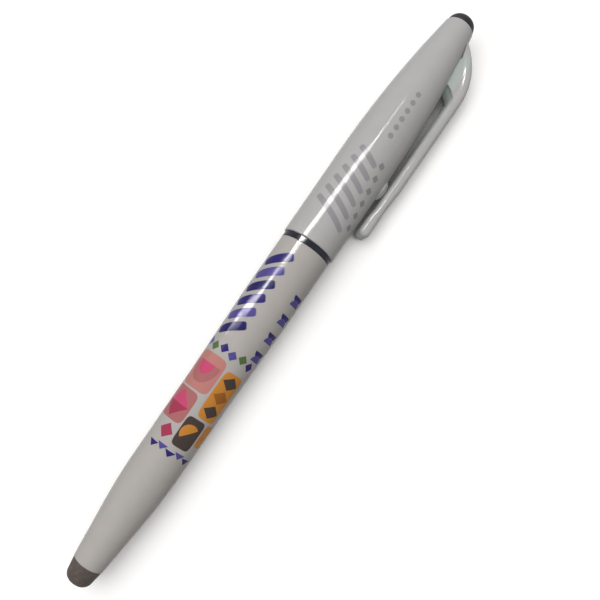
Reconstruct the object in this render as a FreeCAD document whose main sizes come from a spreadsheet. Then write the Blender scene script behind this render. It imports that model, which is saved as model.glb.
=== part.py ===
import FreeCAD, Part
import os
import re
import Sketcher

# Pen with a pull-off cap, lying on its side.
# The axis of the pen is X and the cap points along +X. The origin is on the axis at the barrel's front
# face. The cap is rolled so that it and its clip both rest on one level surface below the pen.

sizes = {
    # dark ring between the cap's mouth and the barrel
    "ringLength": 1.3,
    "ringInset": 0.02,
    "ringEdge": 0.15,
    # barrel: a straight stretch in front, a draft, a long waist, a bend and a cone to the rear rim
    "barrelLength": 78.1,
    "barrelRadius": 5.76,
    "barrelStraight": 14.0,
    "draftLength": 19.5,
    "draftRadius": 5.42,
    "waistRadius": 5.31,
    "bendLength": 11.5,
    "coneLength": 12.7,
    "coneRadius": 4.75,
    "rimRadius": 3.48,
    "barrelWall": 1.0,
    "socketRadius": 2.3,
    "socketDepth": 8.5,
    "partitionWall": 1.2,
    # eraser at the rear
    "eraserInset": 0.06,
    "eraserHeadLength": 4.85,
    "eraserTaper": 0.72,
    "eraserDomeRise": 0.4,
    "eraserCorner": 1.95,
    "eraserStemLength": 7.0,
    # cap shell: a slight taper from the mouth to the shoulder and one long curve to the top
    "capRadius": 6.13,
    "mouthTaper": 0.09,
    "mouthEdge": 0.25,
    "crownLength": 36.05,
    "topRadius": 3.35,
    "topEdge": 0.12,
    "capWall": 0.95,
    "endWall": 1.9,
    "plugHole": 1.9,
    "capRoom": 10.25,
    # clip, from its root near the cap's top to its tip
    "clipWidth": 4.8,
    "clipThickness": 2.3,
    "clipClearance": 0.99,
    "clipRootInset": 1.85,
    "clipRootSink": 0.87,
    "clipRootRun": 12.0,
    "clipRootSpan": 4.1,
    "clipStraight": 22.9,
    "neckRun": 5.2,
    "neckDrop": 0.35,
    "lobeRun": 7.2,
    "lobeDrop": 0.18,
    "lobeClearance": 0.62,
    "lobeLead": 0.6,
    "lobeRamp": 2.2,
    "clipRound": 0.95,
    "tipRound": 1.25,
    "waveRound": 10.0,
    "webWidth": 4.1,
    "archRise": 1.6,
    "archDrop": 3.2,
    "archBend": 5.0,
    "pipLead": 3.6,
    "pipHalfLength": 2.3,
    "pipGap": 0.05,
    # plug in the cap's top
    "plugHeadLength": 2.65,
    "plugTaper": 0.35,
    "plugDomeRise": 0.7,
    "plugCorner": 2.0,
    "plugInset": 0.15,
    "barbReach": 0.25,
    "barbLength": 1.6,
    "barbLand": 0.5,
    # cup inside the cap and its soft pad
    "innerCapFlange": 1.4,
    "innerCapSlack": 0.3,
    "innerCapWall": 0.7,
    "innerCapEnd": 1.4,
    "innerCapEdge": 0.5,
    "sealRadius": 1.95,
    "sealLength": 2.4,
    # front section
    "threadRadius": 4.5,
    "threadLength": 12.0,
    "neckStep": 0.05,
    "flangeLength": 2.0,
    "bodyStep": 0.25,
    "snapStation": 4.8,
    "snapRise": 0.25,
    "snapLength": 1.2,
    "sleeveStation": 7.8,
    "sectionLength": 27.0,
    "seatRadius": 4.3,
    "sectionWall": 0.65,
    "noseThreadLength": 4.8,
    # soft sleeve round the front section
    "sleeveWall": 0.65,
    "sleeveDip": 0.23,
    "grooveWidth": 0.7,
    "grooveDepth": 0.3,
    "groovePitch": 1.7,
    "grooveCount": 8.0,
    # cone in front of the section
    "noseFlangeReach": 0.3,
    "noseFlangeLength": 0.9,
    "landStep": 0.5,
    "landLength": 2.8,
    "noseConeLength": 6.5,
    "noseLip": 0.4,
    # refill
    "tubeRadius": 3.05,
    "tubeWall": 0.5,
    "tailFlange": 3.0,
    "tailStem": 2.5,
    "ventRadius": 0.4,
    "airLength": 10.7,
    "followerLength": 5.0,
    "holderSpigot": 5.0,
    "holderCollar": 2.0,
    "holderCone": 10.5,
    "holderSetback": 2.0,
    "holderRim": 0.48,
    "feedRadius": 0.8,
    "tipRadius": 1.1,
    "tipReach": 4.0,
    "tipSeatLength": 5.5,
    "tipConeLength": 3.2,
    "channelLength": 1.6,
    "ballRadius": 0.35,
    "ballGap": 0.015,
    "lipWall": 0.08,
    "lipReach": 0.12,
    "inkHole": 0.12,
    # clearances
    "mouthGap": 0.05,
    "pressGap": 0.02,
    "fitGap": 0.05,
    "slideGap": 0.1,
    "standoff": 0.2,
    "endGap": 0.3,
}

doc = FreeCAD.newDocument("pen")
sheet = doc.addObject("Spreadsheet::Sheet", "sizes")
for row, (word, size) in enumerate(sizes.items(), start=1):
    sheet.set(f"A{row}", word)
    sheet.set(f"B{row}", str(size))
    sheet.setAlias(f"B{row}", word)
doc.recompute()

bodies = []


def bound(formula):
    # the formula with each size written as a cell of the sheet
    return re.sub(r"[A-Za-z]\w*", lambda found: f"sizes.{found[0]}" if found[0] in sizes else found[0], formula)


def number(formula):
    return float(sheet.evalExpression(bound(formula)))


def newBody(label):
    body = doc.addObject("PartDesign::Body", label)
    body.Label = label
    bodies.append(body)
    return body


def arcBetween(start, end, radius):
    # a positive radius bulges to the left of the way from start to end, a negative one to the right
    chord = end - start
    left = FreeCAD.Vector(-chord.y, chord.x, 0).normalize()
    if radius < 0:
        left = left * -1
    depth = (radius**2 - chord.Length**2 / 4) ** 0.5
    centre = (start + end) * 0.5 - left * depth
    first, last = (end, start) if radius > 0 else (start, end)
    zero = FreeCAD.Vector(1, 0, 0)
    turnFirst = zero.getAngle(first - centre) * (1 if first.y >= centre.y else -1)
    turnLast = zero.getAngle(last - centre) * (1 if last.y >= centre.y else -1)
    circle = Part.Circle(centre, FreeCAD.Vector(0, 0, 1), abs(radius))
    return Part.ArcOfCircle(circle, turnFirst, turnLast)


def drawOutline(body, name, outline):
    # closed outline on the plane through the pen's axis. Each corner is (station, height) or, where an
    # arc leads to the next corner, (station, height, radius)
    sketch = body.newObject("Sketcher::SketchObject", name)
    plane = next(item for item in body.Origin.OriginFeatures if item.Role == "XZ_Plane")
    sketch.AttachmentSupport = [(plane, "")]
    sketch.MapMode = "FlatFace"
    corners = [FreeCAD.Vector(number(corner[0]), number(corner[1]), 0) for corner in outline]
    ends = []
    for index, corner in enumerate(outline):
        start = corners[index]
        end = corners[(index + 1) % len(corners)]
        if len(corner) == 3:
            radius = number(corner[2])
            sketch.addGeometry(arcBetween(start, end, radius), False)
            ends.append((2, 1) if radius > 0 else (1, 2))
            sketch.addConstraint(Sketcher.Constraint("Radius", index, abs(radius)))
            sketch.setExpression(f"Constraints[{sketch.ConstraintCount - 1}]", bound(f"abs({corner[2]})"))
        else:
            sketch.addGeometry(Part.LineSegment(start, end), False)
            ends.append((1, 2))
    for index, corner in enumerate(outline):
        after = (index + 1) % len(outline)
        sketch.addConstraint(Sketcher.Constraint("Coincident", index, ends[index][1], after, ends[after][0]))
        at = corners[index]
        sketch.addConstraint(Sketcher.Constraint("DistanceX", -1, 1, index, ends[index][0], at.x))
        sketch.setExpression(f"Constraints[{sketch.ConstraintCount - 1}]", bound(corner[0]))
        if corner[1] == "0":
            sketch.addConstraint(Sketcher.Constraint("PointOnObject", index, ends[index][0], -1))
        else:
            sketch.addConstraint(Sketcher.Constraint("DistanceY", -1, 1, index, ends[index][0], at.y))
            sketch.setExpression(f"Constraints[{sketch.ConstraintCount - 1}]", bound(corner[1]))
    return sketch


def turn(body, name, outline, kind="Revolution", axis="H_Axis"):
    sketch = drawOutline(body, f"{name}Outline", outline)
    feature = body.newObject(f"PartDesign::{kind}", name)
    feature.Profile = sketch
    feature.ReferenceAxis = (sketch, [axis])
    feature.Angle = 360
    return feature


def padAcross(body, name, outline, width):
    # a pad of the side view, half to each side of the pen's axis
    feature = body.newObject("PartDesign::Pad", name)
    feature.Profile = drawOutline(body, f"{name}Outline", outline)
    feature.Midplane = True
    feature.setExpression("Length", bound(width))
    return feature


def edgesWhere(feature, wanted):
    doc.recompute()
    return [f"Edge{index}" for index, edge in enumerate(feature.Shape.Edges, start=1) if wanted(edge)]


def rimsAt(feature, *rims):
    # names of the round edges at the given (station, radius) pairs
    places = [(number(station), number(radius)) for station, radius in rims]

    def isRim(edge):
        if edge.Degenerated or not isinstance(edge.Curve, Part.Circle):
            return False
        centre = edge.Curve.Center
        if abs(centre.y) > 0.001 or abs(centre.z) > 0.001:
            return False
        return any(abs(centre.x - x) < 0.001 and abs(edge.Curve.Radius - r) < 0.001 for x, r in places)

    return edgesWhere(feature, isRim)


def roundEdges(body, name, feature, edges, radius, kind="Fillet"):
    rounded = body.newObject(f"PartDesign::{kind}", name)
    rounded.Base = (feature, edges)
    rounded.setExpression("Radius" if kind == "Fillet" else "Size", bound(radius))
    return rounded


# Stations along the axis, each worked out from what stands behind it

threadEnd = "(-threadLength)"
flangeBack = "ringLength"
sectionEnd = "(ringLength + sectionLength)"
noseFlangeEnd = f"({sectionEnd} + noseFlangeLength)"
landEnd = f"({noseFlangeEnd} + landLength)"
noseEnd = f"({landEnd} + noseConeLength)"
tipEnd = f"({noseEnd} + tipReach)"
sealFront = f"({tipEnd} + slideGap)"
sealBack = f"({sealFront} + sealLength)"
innerCapTop = f"({sealBack} + innerCapEnd)"
cavityEnd = f"({innerCapTop} + capRoom)"
capTop = f"({cavityEnd} + endWall)"
shoulder = f"({capTop} - crownLength)"
capMouth = "(ringLength + mouthGap)"

coneStart = "(coneLength - barrelLength)"
waist = f"({coneStart} + bendLength)"
socketEnd = "(socketDepth - barrelLength)"
partition = f"({socketEnd} + partitionWall)"


def bendThrough(run, rise):
    # radius of the arc that leaves parallel to the axis and moves by rise over run
    return f"(({run}^2 + {rise}^2) / (2 * {rise}))"


# Barrel: one moulding, open in front, with a partition and the eraser's socket behind

barrelBend = bendThrough("bendLength", "(waistRadius - coneRadius)")
coneSlope = "((coneRadius - rimRadius) / coneLength)"
partitionInner = f"(coneRadius - barrelWall - {coneSlope} * ({coneStart} - {partition}))"
threadBore = "(threadRadius + fitGap)"

barrel = newBody("barrel")
turn(barrel, "barrelSection", [
    ("-barrelLength", "rimRadius"),
    (coneStart, "coneRadius", barrelBend),
    (waist, "waistRadius"),
    ("-barrelStraight - draftLength", "draftRadius"),
    ("-barrelStraight", "barrelRadius"),
    ("0", "barrelRadius"),
    ("0", threadBore),
    (f"{threadEnd} - fitGap", threadBore),
    (f"{threadEnd} - fitGap", "waistRadius - barrelWall"),
    (waist, "waistRadius - barrelWall", f"barrelWall - {barrelBend}"),
    (coneStart, "coneRadius - barrelWall"),
    (partition, partitionInner),
    (partition, "0"),
    (socketEnd, "0"),
    (socketEnd, "socketRadius"),
    ("-barrelLength", "socketRadius"),
])

# Ring trapped between the barrel and the front section's flange

neckRadius = "(threadRadius + neckStep)"
ringRadius = "(barrelRadius - ringInset)"

ring = newBody("joint_ring")
ringTurned = turn(ring, "ringSection", [
    ("0", f"{neckRadius} + fitGap"),
    ("0", ringRadius),
    ("ringLength", ringRadius),
    ("ringLength", f"{neckRadius} + fitGap"),
])
ringRims = rimsAt(ringTurned, ("0", ringRadius), ("ringLength", ringRadius))
roundEdges(ring, "ringEdges", ringTurned, ringRims, "ringEdge")

# Eraser: soft dome on a stem

eraserRadius = "(rimRadius - eraserInset)"
eraserEnd = "(-barrelLength - eraserHeadLength)"
eraserEndRadius = f"({eraserRadius} - eraserTaper)"

eraser = newBody("eraser")
eraserTurned = turn(eraser, "eraserSection", [
    (eraserEnd, "0", bendThrough(eraserEndRadius, "eraserDomeRise")),
    (f"{eraserEnd} + eraserDomeRise", eraserEndRadius),
    ("-barrelLength", eraserRadius),
    ("-barrelLength", "socketRadius - pressGap"),
    ("-barrelLength + eraserStemLength", "socketRadius - pressGap"),
    ("-barrelLength + eraserStemLength", "0"),
])
eraserRim = rimsAt(eraserTurned, (f"{eraserEnd} + eraserDomeRise", eraserEndRadius))
roundEdges(eraser, "eraserCornerRound", eraserTurned, eraserRim, "eraserCorner")

# Cap shell with its clip, web and pip in one moulding

crownBend = bendThrough("crownLength", "(capRadius - topRadius)")


def capOuter(station):
    return f"(capRadius - {crownBend} + sqrt({crownBend}^2 - ({station} - {shoulder})^2))"


def capInner(station):
    return f"(capRadius - {crownBend} + sqrt(({crownBend} - capWall)^2 - ({station} - {shoulder})^2))"


clipTop = "(capRadius + clipClearance + clipThickness)"
clipUnder = "(capRadius + clipClearance)"
clipRoot = f"({capTop} - clipRootInset)"
clipBendStart = f"({clipRoot} - clipRootRun)"
neckStart = f"({clipBendStart} - clipStraight)"
neckEnd = f"({neckStart} - neckRun)"
clipTipEnd = f"({neckEnd} - lobeRun)"
lobeUnder = "(capRadius + lobeClearance)"
rootHeight = f"({capOuter(clipRoot)} - clipRootSink)"
clipBend = bendThrough("clipRootRun", f"({clipTop} - {rootHeight})")
rootInner = f"({clipRoot} - clipRootSpan)"


def bladeHeight(station, depth):
    # height of the blade's bend at a station, at a depth below its outer face
    return f"({clipTop} - {clipBend} + sqrt(({clipBend} - {depth})^2 - ({station} - {clipBendStart})^2))"


cap = newBody("cap_shell")
blade = padAcross(cap, "clipBlade", [
    (clipTipEnd, lobeUnder),
    (clipTipEnd, f"{clipTop} - lobeDrop"),
    (neckEnd, f"{clipTop} - neckDrop"),
    (neckStart, clipTop),
    (clipBendStart, clipTop, clipBend),
    (clipRoot, rootHeight),
    (rootInner, bladeHeight(rootInner, "clipThickness"), f"clipThickness - {clipBend}"),
    (clipBendStart, clipUnder),
    (f"{neckEnd} - lobeLead", clipUnder),
    (f"{neckEnd} - lobeLead - lobeRamp", lobeUnder),
], "clipWidth")


def crossEdges(feature, *stations):
    # names of the edges that run straight across the clip at the given stations
    places = [number(station) for station in stations]
    return edgesWhere(feature, lambda edge: isinstance(edge.Curve, Part.Line)
                      and abs(abs(edge.tangentAt(edge.FirstParameter).y) - 1) < 0.001
                      and any(abs(edge.CenterOfMass.x - x) < 0.001 for x in places))


def flankEdges(feature):
    # names of the edges along both flanks, apart from the short ones at the root, which lie in the cap
    half = number("clipWidth / 2")
    root = number(rootInner)
    return edgesWhere(feature, lambda edge: abs(abs(edge.CenterOfMass.y) - half) < 0.001
                      and abs(abs(edge.Vertexes[0].Point.y) - half) < 0.001
                      and min(corner.Point.x for corner in edge.Vertexes) < root - 0.001)


lobeDepth = f"({clipTop} - lobeDrop - {lobeUnder})"
clipTip = roundEdges(cap, "clipTip", blade, crossEdges(blade, clipTipEnd), f"min(tipRound; {lobeDepth} * 0.49)")
waved = crossEdges(clipTip, neckEnd, neckStart, f"{neckEnd} - lobeLead", f"{neckEnd} - lobeLead - lobeRamp")
clipWaves = roundEdges(cap, "clipWaves", clipTip, waved, "waveRound")
roundEdges(cap, "clipFlanks", clipWaves, flankEdges(clipWaves),
           f"min(clipRound; clipThickness * 0.42; clipWidth * 0.42; {lobeDepth} * 0.42)")
doc.recompute()

turn(cap, "capOutside", [
    (capMouth, "0"),
    (capMouth, "capRadius - mouthTaper"),
    (shoulder, "capRadius", crownBend),
    (capTop, "topRadius"),
    (capTop, "0"),
])
padAcross(cap, "clipWeb", [
    (f"{clipBendStart} + archRise", f"{capOuter(f'({clipBendStart} + archRise)')} - capWall / 2"),
    (f"{clipBendStart} + archRise", capOuter(f"({clipBendStart} + archRise)"), "-archBend"),
    (f"{clipBendStart} - archDrop", f"{clipUnder} + clipThickness / 2"),
    (clipBendStart, f"{clipUnder} + clipThickness / 2", f"{clipBend} - clipThickness / 2"),
    (rootInner, bladeHeight(rootInner, "clipThickness / 2")),
    (rootInner, f"{capOuter(rootInner)} - capWall / 2"),
], "webWidth")

pipTop = f"({clipUnder} - pipGap)"
pipCentre = f"({neckEnd} + pipLead)"
turn(cap, "pip", [
    (pipCentre, "capRadius - capWall / 2"),
    (pipCentre, pipTop, bendThrough("pipHalfLength", f"({pipTop} - capRadius)")),
    (f"{pipCentre} + pipHalfLength", "capRadius"),
    (f"{pipCentre} + pipHalfLength", "capRadius - capWall / 2"),
], axis="Edge1")

turn(cap, "capInside", [
    (capMouth, "0"),
    (capMouth, "capRadius - capWall"),
    (shoulder, "capRadius - capWall", f"{crownBend} - capWall"),
    (cavityEnd, capInner(cavityEnd)),
    (cavityEnd, "plugHole"),
    (capTop, "plugHole"),
    (capTop, "0"),
], kind="Groove")
capHollow = cap.Tip
mouthRim = rimsAt(capHollow, (capMouth, "capRadius - mouthTaper"))
mouthRound = roundEdges(cap, "mouthRound", capHollow, mouthRim, "mouthEdge")
roundEdges(cap, "topRound", mouthRound, rimsAt(mouthRound, (capTop, "topRadius")), "topEdge")

# The cap lies on its round side and on the outer corner of the clip
clipCorner = f"({clipTop} - clipRound)"
clipHalf = "(clipWidth / 2 - clipRound)"
clipSwing = (f"acos((capRadius - clipRound) / sqrt({clipCorner}^2 + {clipHalf}^2))"
             f" + atan({clipHalf} / {clipCorner})")
cap.Placement = FreeCAD.Placement(FreeCAD.Vector(), FreeCAD.Rotation(FreeCAD.Vector(1, 0, 0), 120))
cap.setExpression("Placement.Rotation.Angle", bound(f"180 deg - ({clipSwing})"))

# Plug snapped into the cap's top

plugRadius = "(topRadius - plugInset)"
stemRadius = "(plugHole - fitGap)"
barbBack = f"({cavityEnd} - fitGap)"

plugHeadEnd = f"({capTop} + plugHeadLength)"
plugHeadRadius = f"({plugRadius} - plugTaper)"

plug = newBody("cap_plug")
plugTurned = turn(plug, "plugSection", [
    (f"{barbBack} - barbLength", "0"),
    (f"{barbBack} - barbLength", f"{stemRadius} - barbReach"),
    (f"{barbBack} - barbLand", "plugHole + barbReach"),
    (barbBack, "plugHole + barbReach"),
    (barbBack, stemRadius),
    (capTop, stemRadius),
    (capTop, plugRadius),
    (f"{plugHeadEnd} - plugDomeRise", plugHeadRadius, bendThrough(plugHeadRadius, "plugDomeRise")),
    (plugHeadEnd, "0"),
])
plugRim = rimsAt(plugTurned, (f"{plugHeadEnd} - plugDomeRise", plugHeadRadius))
roundEdges(plug, "plugCornerRound", plugTurned, plugRim, "plugCorner")

# Cup inside the cap, which closes round the nose, with the pad that meets the tip

landRadius = "(seatRadius + noseFlangeReach - landStep)"
cupRadius = f"({landRadius} + fitGap)"
cupMouth = f"({noseFlangeEnd} + standoff)"
flangeFront = f"({cupMouth} + innerCapFlange)"
flangeRadius = f"({capInner(flangeFront)} - pressGap)"
cupConeStart = f"({landEnd} + standoff)"
sealBore = "(sealRadius + fitGap)"

innerCap = newBody("inner_cap")
innerCapTurned = turn(innerCap, "innerCapSection", [
    (cupMouth, cupRadius),
    (cupMouth, flangeRadius),
    (flangeFront, flangeRadius),
    (flangeFront, f"{capInner(flangeFront)} - innerCapSlack"),
    (cupConeStart, f"{capInner(cupConeStart)} - innerCapSlack"),
    (sealFront, f"{sealBore} + innerCapWall"),
    (innerCapTop, f"{sealBore} + innerCapWall"),
    (innerCapTop, "0"),
    (sealBack, "0"),
    (sealBack, sealBore),
    (sealFront, sealBore),
    (cupConeStart, cupRadius),
])
innerCapRim = rimsAt(innerCapTurned, (innerCapTop, f"{sealBore} + innerCapWall"))
roundEdges(innerCap, "innerCapRound", innerCapTurned, innerCapRim, "innerCapEdge")

seal = newBody("tip_seal")
turn(seal, "sealSection", [
    (sealFront, "0"),
    (sealFront, "sealRadius"),
    (sealBack, "sealRadius"),
    (sealBack, "0"),
])

# Front section: thread spigot, neck through the ring, flange, snap bead and seat for the sleeve

bore = "(tubeRadius + slideGap)"
flangeOuter = "(capRadius - capWall - fitGap)"
bodyRadius = f"({flangeOuter} - bodyStep)"
noseThread = "(seatRadius - sectionWall)"
noseBack = f"({sectionEnd} - noseThreadLength)"
snap = "(ringLength + snapStation)"
sleeveBack = "(ringLength + sleeveStation)"

section = newBody("front_section")
turn(section, "sectionSection", [
    (threadEnd, bore),
    (threadEnd, "threadRadius"),
    ("0", "threadRadius"),
    ("0", neckRadius),
    (flangeBack, neckRadius),
    (flangeBack, flangeOuter),
    (f"{flangeBack} + flangeLength", flangeOuter),
    (f"{flangeBack} + flangeLength", bodyRadius),
    (f"{snap} - snapLength / 2", bodyRadius, bendThrough("(snapLength / 2)", "snapRise")),
    (f"{snap} + snapLength / 2", bodyRadius),
    (sleeveBack, bodyRadius),
    (sleeveBack, "seatRadius"),
    (sectionEnd, "seatRadius"),
    (sectionEnd, f"{noseThread} + fitGap"),
    (f"{noseBack} - fitGap", f"{noseThread} + fitGap"),
    (f"{noseBack} - fitGap", bore),
])

# Soft sleeve with a row of round grooves

sleeveRadius = "(seatRadius + sleeveWall)"
sleeveWaist = f"({sleeveRadius} - sleeveDip)"
sleeveMiddle = f"(({sleeveBack} + {sectionEnd}) / 2)"
grooveRow = "(groovePitch * (grooveCount - 1))"
grooveBack = f"({sleeveMiddle} - {grooveRow} / 2 - grooveWidth / 2)"

sleeve = newBody("grip_sleeve")
turn(sleeve, "sleeveSection", [
    (f"{sleeveBack} + fitGap", "seatRadius + pressGap"),
    (f"{sleeveBack} + fitGap", sleeveRadius),
    (sleeveMiddle, sleeveWaist),
    (f"{sectionEnd} - fitGap", sleeveRadius),
    (f"{sectionEnd} - fitGap", "seatRadius + pressGap"),
])
groove = turn(sleeve, "sleeveGroove", [
    (grooveBack, f"{sleeveRadius} + grooveDepth"),
    (grooveBack, sleeveWaist, f"-{bendThrough('(grooveWidth / 2)', 'grooveDepth')}"),
    (f"{grooveBack} + grooveWidth", sleeveWaist),
    (f"{grooveBack} + grooveWidth", f"{sleeveRadius} + grooveDepth"),
], kind="Groove")
grooves = sleeve.newObject("PartDesign::LinearPattern", "sleeveGrooves")
grooves.Originals = [groove]
grooves.Direction = (next(item for item in sleeve.Origin.OriginFeatures if item.Role == "X_Axis"), [""])
grooves.setExpression("Occurrences", bound("grooveCount"))
grooves.setExpression("Length", bound(grooveRow))
sleeve.Tip = grooves

# Nose cone, and the refill's front, which seats in it

holderEnd = f"({noseEnd} - holderSetback)"
collarFront = f"({holderEnd} - holderCone)"
tubeFront = f"({collarFront} - holderCollar)"
noseHole = "(tipRadius + slideGap)"
holderEndRadius = "(tipRadius + holderRim)"

nose = newBody("nose_cone")
turn(nose, "noseSection", [
    (noseBack, bore),
    (noseBack, noseThread),
    (sectionEnd, noseThread),
    (sectionEnd, "seatRadius + noseFlangeReach"),
    (noseFlangeEnd, "seatRadius + noseFlangeReach"),
    (noseFlangeEnd, landRadius),
    (landEnd, landRadius),
    (noseEnd, f"{noseHole} + noseLip"),
    (noseEnd, noseHole),
    (f"{holderEnd} + fitGap", noseHole),
    (f"{holderEnd} + fitGap", f"{holderEndRadius} + slideGap"),
    (f"{collarFront} + fitGap", bore),
])

# Refill: tube, ink, follower, vented tail plug, tip holder, steel tip and ball

tubeInner = "(tubeRadius - tubeWall)"
fillRadius = f"({tubeInner} - pressGap)"
tailEnd = f"({partition} + endGap)"
tubeBack = f"({tailEnd} + tailFlange)"

tube = newBody("refill_tube")
turn(tube, "tubeSection", [
    (tubeBack, tubeInner),
    (tubeBack, "tubeRadius"),
    (tubeFront, "tubeRadius"),
    (tubeFront, tubeInner),
])

tail = newBody("tail_plug")
turn(tail, "tailSection", [
    (tailEnd, "ventRadius"),
    (tailEnd, "tubeRadius"),
    (tubeBack, "tubeRadius"),
    (tubeBack, fillRadius),
    (f"{tubeBack} + tailStem", fillRadius),
    (f"{tubeBack} + tailStem", "ventRadius"),
])

inkFront = f"({tubeFront} - holderSpigot)"
followerBack = f"({tubeBack} + tailStem + airLength)"
inkBack = f"({followerBack} + followerLength)"

ink = newBody("ink_column")
turn(ink, "inkSection", [
    (inkBack, "0"),
    (inkBack, fillRadius),
    (inkFront, fillRadius),
    (inkFront, "0"),
])

follower = newBody("follower")
turn(follower, "followerSection", [
    (followerBack, "0"),
    (followerBack, fillRadius),
    (inkBack, fillRadius),
    (inkBack, "0"),
])

tipBack = f"({holderEnd} - tipSeatLength)"

holder = newBody("tip_holder")
turn(holder, "holderSection", [
    (inkFront, "feedRadius"),
    (inkFront, fillRadius),
    (tubeFront, fillRadius),
    (tubeFront, "tubeRadius"),
    (collarFront, "tubeRadius"),
    (holderEnd, holderEndRadius),
    (holderEnd, "tipRadius + pressGap"),
    (tipBack, "tipRadius + pressGap"),
    (tipBack, "feedRadius"),
])

ballCentre = f"({tipEnd} - ballRadius)"
ballSeat = "(ballRadius + ballGap)"
lipRadius = f"sqrt({ballSeat}^2 - lipReach^2)"
seatBack = f"({ballCentre} - sqrt({ballSeat}^2 - inkHole^2))"

tip = newBody("tip_socket")
turn(tip, "tipSection", [
    (tipBack, "feedRadius"),
    (tipBack, "tipRadius"),
    (f"{tipEnd} - tipConeLength", "tipRadius"),
    (f"{ballCentre} + lipReach", f"{lipRadius} + lipWall"),
    (f"{ballCentre} + lipReach", lipRadius, f"-{ballSeat}"),
    (seatBack, "inkHole"),
    (f"{tipEnd} - channelLength", "inkHole"),
    (f"{tipEnd} - tipConeLength", "feedRadius"),
])

ball = newBody("writing_ball")
turn(ball, "ballSection", [
    (f"{ballCentre} - ballRadius", "0", "ballRadius"),
    (ballCentre, "ballRadius", "ballRadius"),
    (tipEnd, "0"),
])

# Nothing is written unless every object is sound
doc.recompute()
for item in doc.Objects:
    if "Invalid" in item.State or "Error" in item.State:
        raise RuntimeError(f"{item.Label} did not compute: {item.State}")
for body in bodies:
    if body.Shape.isNull() or not body.Shape.isValid() or len(body.Shape.Solids) != 1:
        raise RuntimeError(f"{body.Label} is not one sound solid")

os.makedirs("parts", exist_ok=True)
for body in bodies:
    body.Shape.exportStep(f"parts/{body.Label}.step")
    print(f"{body.Label}: {body.Shape.Volume:.2f} mm3")
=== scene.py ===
import math
import bpy
import bmesh
from mathutils import Matrix, Vector


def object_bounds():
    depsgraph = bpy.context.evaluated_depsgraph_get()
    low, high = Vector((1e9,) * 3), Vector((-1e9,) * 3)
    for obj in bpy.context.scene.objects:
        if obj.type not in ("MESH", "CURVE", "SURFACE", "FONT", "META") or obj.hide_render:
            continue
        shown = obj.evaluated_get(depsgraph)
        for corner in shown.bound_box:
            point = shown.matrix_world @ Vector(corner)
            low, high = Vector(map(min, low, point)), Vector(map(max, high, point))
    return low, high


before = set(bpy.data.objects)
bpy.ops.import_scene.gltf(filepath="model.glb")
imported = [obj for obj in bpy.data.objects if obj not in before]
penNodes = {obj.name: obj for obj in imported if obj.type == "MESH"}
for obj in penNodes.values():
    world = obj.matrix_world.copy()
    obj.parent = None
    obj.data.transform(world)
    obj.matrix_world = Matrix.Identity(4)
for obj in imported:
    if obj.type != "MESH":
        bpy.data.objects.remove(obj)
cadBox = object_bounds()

# A pen that lies on its side on a pale table. Its axis is X, the cap points to +X and the table is below.
# Patterns are laid out in millimetres on two coordinates: the station, back from the barrel's front face,
# and the arc, round the pen from the line that faces up and a little towards -Y.

# one millimetre, in the scene's metres
mm = 0.001
print("frame loaded:", len(penNodes), "nodes")


def tone(red, green, blue):
    # a colour written 0 to 255, as linear light
    def linear(part):
        part = part / 255
        return part / 12.92 if part <= 0.04045 else ((part + 0.055) / 1.055) ** 2.4
    return (linear(red), linear(green), linear(blue), 1.0)


# Small helpers for node trees

def addNode(tree, kind, inputs=None, **settings):
    node = tree.nodes.new(kind)
    for setting, value in settings.items():
        setattr(node, setting, value)
    for socket, value in (inputs or {}).items():
        if isinstance(value, bpy.types.NodeSocket):
            tree.links.new(value, node.inputs[socket])
        else:
            node.inputs[socket].default_value = value
    return node


def feed(tree, node, **links):
    for socket, value in links.items():
        tree.links.new(value, node.inputs[socket])


def maths(tree, operation, first, second=0.0):
    return addNode(tree, "ShaderNodeMath", {0: first, 1: second}, operation=operation).outputs[0]


def product(tree, first, *others):
    for other in others:
        first = maths(tree, "MULTIPLY", first, other)
    return first


def total(tree, first, *others):
    for other in others:
        first = maths(tree, "ADD", first, other)
    return first


def vectorMaths(tree, operation, first, second=(0, 0, 0), result=0):
    return addNode(tree, "ShaderNodeVectorMath", {0: first, 1: second}, operation=operation).outputs[result]


def split(tree, vector):
    return addNode(tree, "ShaderNodeSeparateXYZ", {0: vector}).outputs


def joined(tree, x, y, z):
    return addNode(tree, "ShaderNodeCombineXYZ", {0: x, 1: y, 2: z}).outputs[0]


def remap(tree, value, low, high, toLow=0.0, toHigh=1.0, smooth=False):
    return addNode(tree, "ShaderNodeMapRange", {"Value": value, "From Min": low, "From Max": high,
                                                "To Min": toLow, "To Max": toHigh},
                   interpolation_type="SMOOTHSTEP" if smooth else "LINEAR").outputs[0]


def blendColour(tree, share, first, second):
    return addNode(tree, "ShaderNodeMix", {0: share, 6: first, 7: second}, data_type="RGBA").outputs[2]


def noise(tree, place, scale, detail=2.0, roughness=0.5):
    return addNode(tree, "ShaderNodeTexNoise", {"Vector": place, "Scale": scale, "Detail": detail,
                                                "Roughness": roughness}).outputs[0]


def bump(tree, height, depth):
    return addNode(tree, "ShaderNodeBump", {"Height": height, "Distance": depth}).outputs[0]


def newGroup(name, inputs, outputs):
    group = bpy.data.node_groups.new(name, "ShaderNodeTree")
    for label, kind, start in inputs:
        socket = group.interface.new_socket(name=label, in_out="INPUT", socket_type=f"NodeSocket{kind}")
        socket.default_value = start
    for label, kind in outputs:
        group.interface.new_socket(name=label, in_out="OUTPUT", socket_type=f"NodeSocket{kind}")
    return group, group.nodes.new("NodeGroupInput").outputs, group.nodes.new("NodeGroupOutput")


def useGroup(tree, group, inputs=None):
    return addNode(tree, "ShaderNodeGroup", inputs, node_tree=group).outputs


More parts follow.
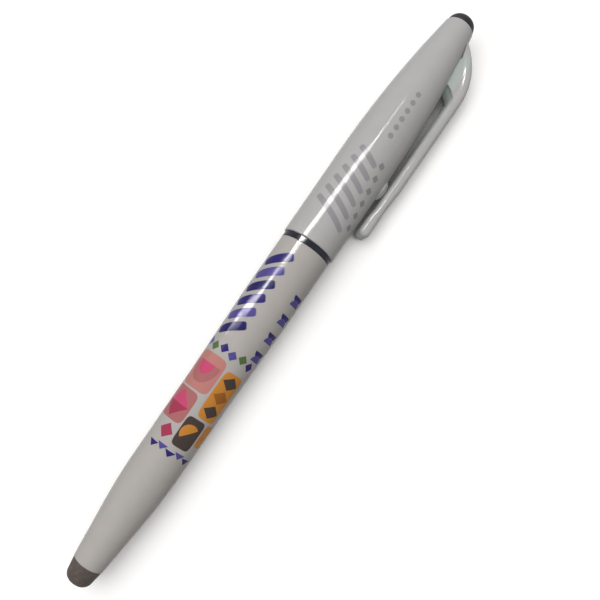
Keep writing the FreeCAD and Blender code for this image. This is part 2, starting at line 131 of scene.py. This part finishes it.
def newMaterial(name, **shaderValues):
    material = bpy.data.materials.new(name)
    material.use_nodes = True
    tree = material.node_tree
    tree.nodes.clear()
    shader = addNode(tree, "ShaderNodeBsdfPrincipled", shaderValues)
    addNode(tree, "ShaderNodeOutputMaterial", {"Surface": shader.outputs["BSDF"]})
    return material, tree, shader


# Shared effects

# Station, arc and distance from the axis, all in millimetres
penPlace, given, made = newGroup(
    "penPlace", [("Turn", "Vector", (0, 0, 0)), ("Radius", "Float", 5.5)],
    [("Place", "Vector"), ("Distance", "Float"), ("Point", "Vector")])
spot = addNode(penPlace, "ShaderNodeTexCoord").outputs["Object"]
turned = addNode(penPlace, "ShaderNodeMapping", {
    "Vector": spot, "Rotation": given["Turn"], "Scale": (1 / mm, 1 / mm, 1 / mm)}).outputs[0]
ahead, aside, upward = split(penPlace, turned)
angle = maths(penPlace, "ARCTAN2", product(penPlace, aside, -1.0), upward)
station, arc = product(penPlace, ahead, -1.0), product(penPlace, angle, given["Radius"])
feed(penPlace, made, Point=turned, Place=joined(penPlace, station, arc, 0.0), Distance=vectorMaths(
    penPlace, "LENGTH", joined(penPlace, 0.0, aside, upward), result="Value"))

# One printed shape: power 1 is a diamond, 2 an ellipse, 6 a tile with round corners. Cut keeps the part of it
# behind that share of its half length, so 0 keeps half of the shape and -2 keeps all of it.
printShape, given, made = newGroup("printShape", [
    ("Place", "Vector", (0, 0, 0)), ("Centre", "Vector", (0, 0, 0)), ("Size", "Vector", (1, 1, 1)),
    ("Turn", "Float", 0.0), ("Power", "Float", 2.0), ("Cut", "Float", -2.0), ("Soft", "Float", 0.05)],
    [("Mask", "Float")])
moved = vectorMaths(printShape, "SUBTRACT", given["Place"], given["Centre"])
swung = addNode(printShape, "ShaderNodeVectorRotate", {"Vector": moved, "Angle": given["Turn"]},
                rotation_type="Z_AXIS").outputs[0]
halves = split(printShape, vectorMaths(printShape, "DIVIDE", swung, given["Size"]))
powers = [maths(printShape, "POWER", maths(printShape, "ABSOLUTE", halves[index]), given["Power"])
          for index in (0, 1)]
reach = maths(printShape, "POWER", total(printShape, *powers),
              maths(printShape, "DIVIDE", 1.0, given["Power"]))
inside = remap(printShape, reach, maths(printShape, "SUBTRACT", 1.0, given["Soft"]),
               total(printShape, 1.0, given["Soft"]), 1.0, 0.0, smooth=True)
kept = remap(printShape, halves[0], maths(printShape, "SUBTRACT", given["Cut"], given["Soft"]),
             total(printShape, given["Cut"], given["Soft"]), smooth=True)
feed(printShape, made, Mask=product(printShape, inside, kept))

# Moulded skin: faint waviness, cloudy gloss and fine hairline marks
hairlines = {"turn": (0.2, 0.1, 0.45), "stretch": (0.12, 3.2, 3.2), "scale": 2.2, "fine": (0.70, 0.76)}
grainHeight, cloudEdges = 0.008, (0.3, 0.7)

mouldedSkin, given, made = newGroup("mouldedSkin", [
    ("Point", "Vector", (0, 0, 0)), ("Wave", "Float", 0.35), ("Grain", "Float", 9.0),
    ("Marks", "Float", 0.5)],
    [("Height", "Float"), ("Cloud", "Float"), ("Hairlines", "Float")])
wave = noise(mouldedSkin, given["Point"], given["Wave"], 1.0)
grain = noise(mouldedSkin, given["Point"], given["Grain"], 3.0)
drawn = addNode(mouldedSkin, "ShaderNodeMapping", {
    "Vector": given["Point"], "Rotation": hairlines["turn"], "Scale": hairlines["stretch"]}).outputs[0]
marks = remap(mouldedSkin, noise(mouldedSkin, drawn, hairlines["scale"], 4.0, 0.7), *hairlines["fine"])
feed(mouldedSkin, made, Cloud=remap(mouldedSkin, wave, *cloudEdges),
     Height=total(mouldedSkin, wave, product(mouldedSkin, grain, grainHeight)),
     Hairlines=product(mouldedSkin, marks, given["Marks"]))

# Rubber and matt plastic: pores, crumbs of wear and a mottled colour
poreEdges, mottleEdges, rubEdges = (0.0, 0.5), (0.32, 0.68), (0.52, 0.66)

softSkin, given, made = newGroup("softSkin", [
    ("Point", "Vector", (0, 0, 0)), ("Pores", "Float", 7.0), ("Mottle", "Float", 0.9)],
    [("Height", "Float"), ("Mottle", "Float"), ("Rub", "Float")])
pores = addNode(softSkin, "ShaderNodeTexVoronoi", {"Vector": given["Point"], "Scale": given["Pores"],
                                                   "Randomness": 1.0}).outputs["Distance"]
dusty = noise(softSkin, given["Point"], given["Pores"], 5.0, 0.65)
patches = noise(softSkin, given["Point"], given["Mottle"])
feed(softSkin, made, Mottle=remap(softSkin, patches, *mottleEdges), Rub=remap(softSkin, dusty, *rubEdges),
     Height=total(softSkin, remap(softSkin, pores, *poreEdges), dusty))

print("shared effects ready")


# Printed gloss plastic of the barrel and of the cap

ink = {
    "indigo": tone(50, 44, 112), "deepBlue": tone(42, 38, 96), "violet": tone(86, 78, 146),
    "lilac": tone(122, 112, 170), "salmon": tone(188, 126, 120), "blush": tone(172, 108, 108),
    "pink": tone(200, 78, 116), "rose": tone(164, 62, 88), "amber": tone(200, 134, 58),
    "ochre": tone(158, 98, 42), "bark": tone(76, 66, 62), "green": tone(86, 112, 68),
    "silver": tone(152, 150, 154), "steel": tone(144, 142, 146)}
# half the width of the ink's soft edge, in millimetres
inkEdge = 0.045

# shade and warm are the two colours that the cloudy gloss blends
whitePlastic = {
    "barrelShade": tone(176, 173, 169), "barrelWarm": tone(180, 175, 172),
    "capShade": tone(179, 179, 178), "capWarm": tone(182, 181, 181),
    "shine": {"IOR": 1.5, "Specular IOR Level": 0.06}, "roughness": 0.085, "cloudGloss": 0.03,
    "inkGloss": 0.05, "marks": 0.6, "markGloss": 0.12, "waviness": 0.000006, "facing": math.radians(-23)}

# painted light where the clip stands on the cap: a greener glow on the web between them, and a pale lift that
# brightens the hollow under the clip where shade falls. Each gives its colour, its share, and the edges over
# which it sets in
webPaintedGlow = (tone(182, 189, 185), 1.0, {"arc": (6.2, 7.4), "distance": (7.0, 6.3), "station": (-37.0, -42.0)})
hollowPaintedLight = (tone(232, 240, 234), 0.75, {"arc": (8.2, 9.6), "distance": (8.6, 7.8)})

# kind of ink, station, arc, half length, half width, turn in degrees, power, cut
barrelPrint = [
    # slanted bars, with a dot beside each
    (kind, 5.2 + 3.35 * step, -3.8, 0.98, 3.3, -32, 6, -2)
    for step, kind in enumerate(("indigo", "violet", "deepBlue", "indigo", "violet", "deepBlue"))] + [
    ("lilac", 5.3 + 3.35 * step, -7.7, 0.5, 0.5, 0, 2, -2) for step in range(6)] + [
    # half discs in a row on the side, each turned against the next
    (("indigo", "violet")[step % 2], 9.2 + 2.3 * step, 5.2, 1.5, 1.5, 180 * (step % 2), 2, 0)
    for step in range(8)] + [
    # a patchwork of tiles, each with a cut shape inside
    ("salmon", 32.4, -3.5, 4.1, 3.9, 0, 6, -2), ("blush", 30.4, -3.5, 4.6, 3.3, 0, 2, 0),
    ("pink", 30.4, -3.5, 2.7, 1.9, 0, 2, 0),
    ("blush", 40.5, -4.3, 3.6, 3.6, 0, 6, -2), ("pink", 40.5, -4.3, 3.1, 3.1, 0, 1, -2),
    ("rose", 40.5, -4.3, 3.1, 3.1, 0, 1, 0),
    ("amber", 35.1, 3.3, 5.5, 2.5, 0, 6, -2), ("bark", 31.7, 3.3, 1.5, 2.0, 0, 1, -2),
    ("ochre", 35.1, 3.3, 1.5, 2.0, 0, 1, -2), ("bark", 38.5, 3.3, 1.5, 2.0, 0, 1, -2),
    ("bark", 44.5, 1.9, 3.4, 2.3, 0, 6, -2), ("amber", 44.5, 1.9, 2.0, 2.0, 135, 2, 0),
    ("amber", 43.7, 6.1, 2.6, 1.5, 0, 6, -2), ("rose", 46.3, -2.6, 1.7, 1.7, 0, 1, -2)] + [
    # small diamonds before it and small triangles after it
    (("violet", "green", "indigo")[step % 3], 26.3 + 0.5 * (step % 2), -6.8 + 2.3 * step, 1.1, 1.1, 0, 1, -2)
    for step in range(6)] + [
    (("indigo", "violet")[step % 2], 49.3 - 0.5 * (step % 2), -3.6 + 2.2 * step, 1.3, 1.3, 0, 1, 0)
    for step in range(5)]

# slanted bars that get shorter, small tiles beside them, and a row of dots
capPrint = [("silver", -8.4 - 2.75 * step, -0.4, 0.62, 4.9 - 0.42 * step, 24, 6, -2) for step in range(6)] + [
    ("steel", -8.4 - 2.75 * step, 5.5 - 0.45 * step, 0.62, 0.62, 24, 6, -2) for step in range(6)] + [
    ("silver", -28.2 - 2.1 * step, 1.0, 0.62, 0.62, 0, 2, -2) for step in range(6)]


def printedPlastic(name, shapes, radius, shade, warm, paintedLights=()):
    values = whitePlastic
    material, tree, shader = newMaterial(name, **values["shine"])
    place = useGroup(tree, penPlace, {"Turn": (values["facing"], 0, 0), "Radius": radius})
    skin = useGroup(tree, mouldedSkin, {"Point": place["Point"], "Marks": values["marks"]})
    colour = blendColour(tree, skin["Cloud"], values[shade], values[warm])
    # painted light: each of these tones puts a greener glow on the web or brightens the shaded hollow under
    # the clip
    for paintedTone, share, edges in paintedLights:
        station, arc = split(tree, place["Place"])[:2]
        where = {"station": station, "arc": arc, "distance": place["Distance"]}
        masks = [remap(tree, where[measure], *edges[measure], smooth=True) for measure in edges]
        colour = blendColour(tree, product(tree, *masks, share), colour, paintedTone)
    inked = None
    for kind, station, arc, halfLength, halfWidth, turn, power, cut in shapes:
        mask = useGroup(tree, printShape, {
            "Place": place["Place"], "Centre": (station, arc, 0), "Size": (halfLength, halfWidth, 1),
            "Turn": math.radians(turn), "Power": power, "Cut": cut,
            "Soft": inkEdge / min(halfLength, halfWidth)})["Mask"]
        colour = blendColour(tree, mask, colour, ink[kind])
        inked = mask if inked is None else maths(tree, "MAXIMUM", inked, mask)
    gloss = total(tree, values["roughness"], product(tree, skin["Cloud"], values["cloudGloss"]),
                  product(tree, inked, values["inkGloss"]),
                  product(tree, skin["Hairlines"], values["markGloss"]))
    feed(tree, shader, **{"Base Color": colour, "Roughness": gloss,
                          "Normal": bump(tree, skin["Height"], values["waviness"])})
    return material


# Plain moulded plastics, from a few values each

plainPlastic = {"shine": {"IOR": 1.5, "Specular IOR Level": 0.1}, "marks": 0.4, "cloudGloss": 0.06,
                "markGloss": 0.15}


def mouldedPlastic(name, colour, second, roughness, waviness=0.00001):
    values = plainPlastic
    material, tree, shader = newMaterial(name, **values["shine"])
    point = useGroup(tree, penPlace)["Point"]
    skin = useGroup(tree, mouldedSkin, {"Point": point, "Marks": values["marks"]})
    gloss = total(tree, roughness, product(tree, skin["Cloud"], values["cloudGloss"]),
                  product(tree, skin["Hairlines"], values["markGloss"]))
    feed(tree, shader, **{"Base Color": blendColour(tree, skin["Cloud"], colour, second),
                          "Roughness": gloss, "Normal": bump(tree, skin["Height"], waviness)})
    return material


# Rubber, with pores and rubbed patches

rubberShine, rubGloss = {"Specular IOR Level": 0.08}, 0.1


def rubber(name, colour, rubbed, roughness, depth=0.00003, pores=7.0):
    material, tree, shader = newMaterial(name, **rubberShine)
    point = useGroup(tree, penPlace)["Point"]
    skin = useGroup(tree, softSkin, {"Point": point, "Pores": pores})
    share = product(tree, total(tree, skin["Mottle"], skin["Rub"]), 0.5)
    feed(tree, shader, **{"Base Color": blendColour(tree, share, colour, rubbed),
                          "Normal": bump(tree, skin["Height"], depth),
                          "Roughness": remap(tree, skin["Rub"], 0.0, 1.0, roughness, roughness + rubGloss)})
    return material


# Turned steel, with rings round the pen's axis

turning = {"rings": 6.0, "unevenness": 0.6, "depth": 0.000004, "ringGloss": 0.12, "cloud": 3.0, "darker": 0.8}


def turnedSteel(name, colour, roughness):
    material, tree, shader = newMaterial(name, Metallic=1.0)
    point = useGroup(tree, penPlace)["Point"]
    rings = addNode(tree, "ShaderNodeTexWave", {
        "Vector": point, "Scale": turning["rings"], "Distortion": turning["unevenness"],
        "Detail": 2.0}, bands_direction="X").outputs["Fac"]
    cloud = noise(tree, point, turning["cloud"])
    darker = tuple(part * turning["darker"] for part in colour[:3]) + (1.0,)
    gloss = remap(tree, rings, 0.0, 1.0, roughness, roughness + turning["ringGloss"])
    feed(tree, shader, **{"Base Color": blendColour(tree, cloud, darker, colour), "Roughness": gloss,
                          "Normal": bump(tree, rings, turning["depth"])})
    return material


finishes = {
    "barrel": printedPlastic("printedBarrel", barrelPrint, 5.55, "barrelShade", "barrelWarm"),
    "cap_shell": printedPlastic("printedCap", capPrint, 6.1, "capShade", "capWarm", (webPaintedGlow, hollowPaintedLight)),
    "cap_plug": mouldedPlastic("darkPlug", tone(44, 43, 48), tone(52, 51, 56), 0.4, 0.00002),
    "joint_ring": mouldedPlastic("navyRing", tone(42, 44, 53), tone(49, 51, 60), 0.12),
    "eraser": rubber("eraserRubber", tone(86, 74, 69), tone(102, 98, 93), 0.5),
    "inner_cap": mouldedPlastic("cupPlastic", tone(206, 206, 202), tone(196, 196, 192), 0.38),
    "tip_seal": rubber("sealRubber", tone(176, 176, 170), tone(164, 164, 158), 0.6),
    "front_section": mouldedPlastic("sectionPlastic", tone(44, 44, 48), tone(52, 52, 56), 0.3),
    "grip_sleeve": rubber("gripRubber", tone(52, 52, 56), tone(66, 66, 70), 0.55, 0.00002, 5.0),
    "nose_cone": mouldedPlastic("nosePlastic", tone(46, 46, 50), tone(56, 56, 60), 0.22),
    "refill_tube": mouldedPlastic("tubePlastic", tone(210, 212, 214), tone(200, 202, 204), 0.3),
    "ink_column": mouldedPlastic("gelInk", tone(20, 20, 26), tone(26, 26, 34), 0.2),
    "follower": mouldedPlastic("followerGrease", tone(204, 196, 160), tone(194, 186, 150), 0.24),
    "tail_plug": mouldedPlastic("tailPlastic", tone(60, 60, 64), tone(70, 70, 74), 0.35),
    "tip_holder": mouldedPlastic("holderPlastic", tone(188, 190, 192), tone(176, 178, 182), 0.3),
    "tip_socket": turnedSteel("turnedTip", tone(196, 196, 200), 0.22),
    "writing_ball": turnedSteel("ballMetal", tone(170, 170, 176), 0.12)}

for label, piece in penNodes.items():
    piece.data.materials.clear()
    piece.data.materials.append(finishes[label])
print("finishes on", len(finishes), "pieces")


def seenDirectly(tree):
    # 1 for what the eye sees, straight, mirrored or through glass, and 0 for what only lights the pen
    path = addNode(tree, "ShaderNodeLightPath").outputs
    return maths(tree, "MAXIMUM", maths(tree, "MAXIMUM", path["Is Camera Ray"], path["Is Glossy Ray"]),
                 path["Is Transmission Ray"])


# Table. Bounce is its colour for the light that it throws on the pen, and seen its colour for the eye, with a
# glow named lift that keeps it white. Nook is a painted shade, the dark colour that it takes close under the
# pen, within reach in metres.

table = {"halfSize": 1.6, "cells": 8, "drop": 0.00002,
         "bounce": tone(96, 94, 92), "fibres": 900.0, "fibreEdges": (0.4, 0.6), "fibreShare": 0.08,
         "seen": tone(253, 253, 253), "lift": 0.11, "liftColour": (1, 0.985, 0.97, 1),
         "nook": tone(84, 81, 78), "nookLift": 0.04, "reach": 0.012, "nookEdges": (0.08, 0.3), "samples": 32}

sheet = bmesh.new()
bmesh.ops.create_grid(sheet, x_segments=table["cells"], y_segments=table["cells"], size=table["halfSize"])
bmesh.ops.translate(sheet, verts=sheet.verts, vec=(0, 0, cadBox[0][2] - table["drop"]))
tableMesh = bpy.data.meshes.new("table")
sheet.to_mesh(tableMesh)
sheet.free()
tableTop = bpy.data.objects.new("table", tableMesh)
bpy.context.scene.collection.objects.link(tableTop)

tableFinish = bpy.data.materials.new("paleTable")
tableFinish.use_nodes = True
tree = tableFinish.node_tree
tree.nodes.clear()
spot = addNode(tree, "ShaderNodeTexCoord").outputs["Object"]
fibre = remap(tree, noise(tree, spot, table["fibres"]), *table["fibreEdges"], 0.0, table["fibreShare"])
plain = addNode(tree, "ShaderNodeBsdfDiffuse", {
    "Color": blendColour(tree, fibre, table["bounce"], table["seen"])}).outputs[0]
# painted shade: close under the pen and in the gap of the clip the table's colour darkens to the nook tone
# and its glow drops, by how closed in it is
openness = addNode(tree, "ShaderNodeAmbientOcclusion", {"Distance": table["reach"]},
                   samples=table["samples"]).outputs["AO"]
openShare = remap(tree, openness, *table["nookEdges"], smooth=True)
bright = addNode(tree, "ShaderNodeBsdfDiffuse", {
    "Color": blendColour(tree, openShare, table["nook"], table["seen"])}).outputs[0]
glow = addNode(tree, "ShaderNodeEmission", {
    "Color": table["liftColour"],
    "Strength": remap(tree, openShare, 0.0, 1.0, table["nookLift"], table["lift"])}).outputs[0]
white = addNode(tree, "ShaderNodeAddShader", {0: bright, 1: glow}).outputs[0]
mixed = addNode(tree, "ShaderNodeMixShader", {0: seenDirectly(tree), 1: plain, 2: white}).outputs[0]
addNode(tree, "ShaderNodeOutputMaterial", {"Surface": mixed})
tableMesh.materials.append(tableFinish)
print("table ready")


# Light: a soft sky lights the pen, and strips overhead draw the bright line in its gloss

lamps = {
    # start and end of the strip in millimetres, its width, and how bright it is
    "stripFar": ((312, -36, 400), (214, -24, 400), 34, 66),
    "stripRise": ((214, -24, 400), (168, 14, 400), 50, 140),
    "stripNear": ((168, 14, 400), (108, 102, 400), 84, 135),
    "stripTurn": ((108, 102, 400), (80, 170, 400), 38, 300),
    "stripBend": ((80, 166, 400), (52, 275, 400), 34, 210),
    "stripSide": ((33, 232, 400), (18, 700, 400), 28, 165),
}
# an even light from all round and more of it from above, drawn closer to overhead by a higher power. The seen
# colours are those that the eye meets, and the gloss of the pen.
sky = {"even": 0.14, "above": 2.18, "power": 3.0, "colour": (1.0, 0.99, 0.98, 1),
       "seenLow": (1, 1, 1, 1), "seenHigh": (0.42, 0.41, 0.4, 1), "seenEdges": (0.25, 0.6)}

for label, (start, end, width, brightness) in lamps.items():
    start, end = Vector(start) * mm, Vector(end) * mm
    lamp = bpy.data.lights.new(label, "AREA")
    lamp.shape = "RECTANGLE"
    lamp.size = (end - start).length
    lamp.size_y = width * mm
    lamp.energy = brightness * math.pi * lamp.size * lamp.size_y
    holder = bpy.data.objects.new(label, lamp)
    bpy.context.scene.collection.objects.link(holder)
    # the lamp's own X runs along the strip and its Z away from the pen, so that it shines at it
    along = (end - start).normalized()
    side = (start + end).normalized().cross(along).normalized()
    turn = Matrix((along, side, along.cross(side))).transposed().to_4x4()
    holder.visible_diffuse = False
    holder.matrix_world = Matrix.Translation((start + end) / 2) @ turn

world = bpy.data.worlds.new("softSky")
bpy.context.scene.world = world
world.use_nodes = True
tree = world.node_tree
tree.nodes.clear()
height = split(tree, addNode(tree, "ShaderNodeTexCoord").outputs["Generated"])[2]
seenShare = remap(tree, height, *sky["seenEdges"], smooth=True)
seenSky = blendColour(tree, seenShare, sky["seenLow"], sky["seenHigh"])
overhead = maths(tree, "POWER", maths(tree, "MAXIMUM", height, 0.0), sky["power"])
fill = total(tree, sky["even"], product(tree, overhead, sky["above"]))
lit = addNode(tree, "ShaderNodeBackground", {"Color": sky["colour"], "Strength": fill}).outputs[0]
seen = addNode(tree, "ShaderNodeBackground", {"Color": seenSky, "Strength": 1.0}).outputs[0]
mixed = addNode(tree, "ShaderNodeMixShader", {0: seenDirectly(tree), 1: lit, 2: seen}).outputs[0]
addNode(tree, "ShaderNodeOutputWorld", {"Surface": mixed})
print("light ready")


# Camera, from above and a little to the clip's side, turned so that the pen runs from corner to corner

view = {"place": (-0.0295, -0.049, 0.11543), "towards": (0.04361, 0.37267, -0.92694),
        "turn": math.radians(34.675), "lens": 36.09, "sensor": 36, "shift": (0.0855, 0.0869), "near": 0.01}

camera = bpy.data.cameras.new("view")
camera.lens = view["lens"]
camera.sensor_width = view["sensor"]
camera.shift_x, camera.shift_y = view["shift"]
camera.clip_start = view["near"]
eye = bpy.data.objects.new("view", camera)
bpy.context.scene.collection.objects.link(eye)
forward = Vector(view["towards"]).normalized()
penWay = Vector((1, 0, 0))
penWay = (penWay - forward * penWay.dot(forward)).normalized()
crossWay = forward.cross(penWay)
upWay = penWay * math.cos(view["turn"]) - crossWay * math.sin(view["turn"])
rightWay = penWay * math.sin(view["turn"]) + crossWay * math.cos(view["turn"])
eye.matrix_world = Matrix.Translation(Vector(view["place"])) @ Matrix(
    (rightWay, upWay, -forward)).transposed().to_4x4()
bpy.context.scene.camera = eye
bpy.context.scene.view_settings.view_transform = "Standard"
print("camera ready")
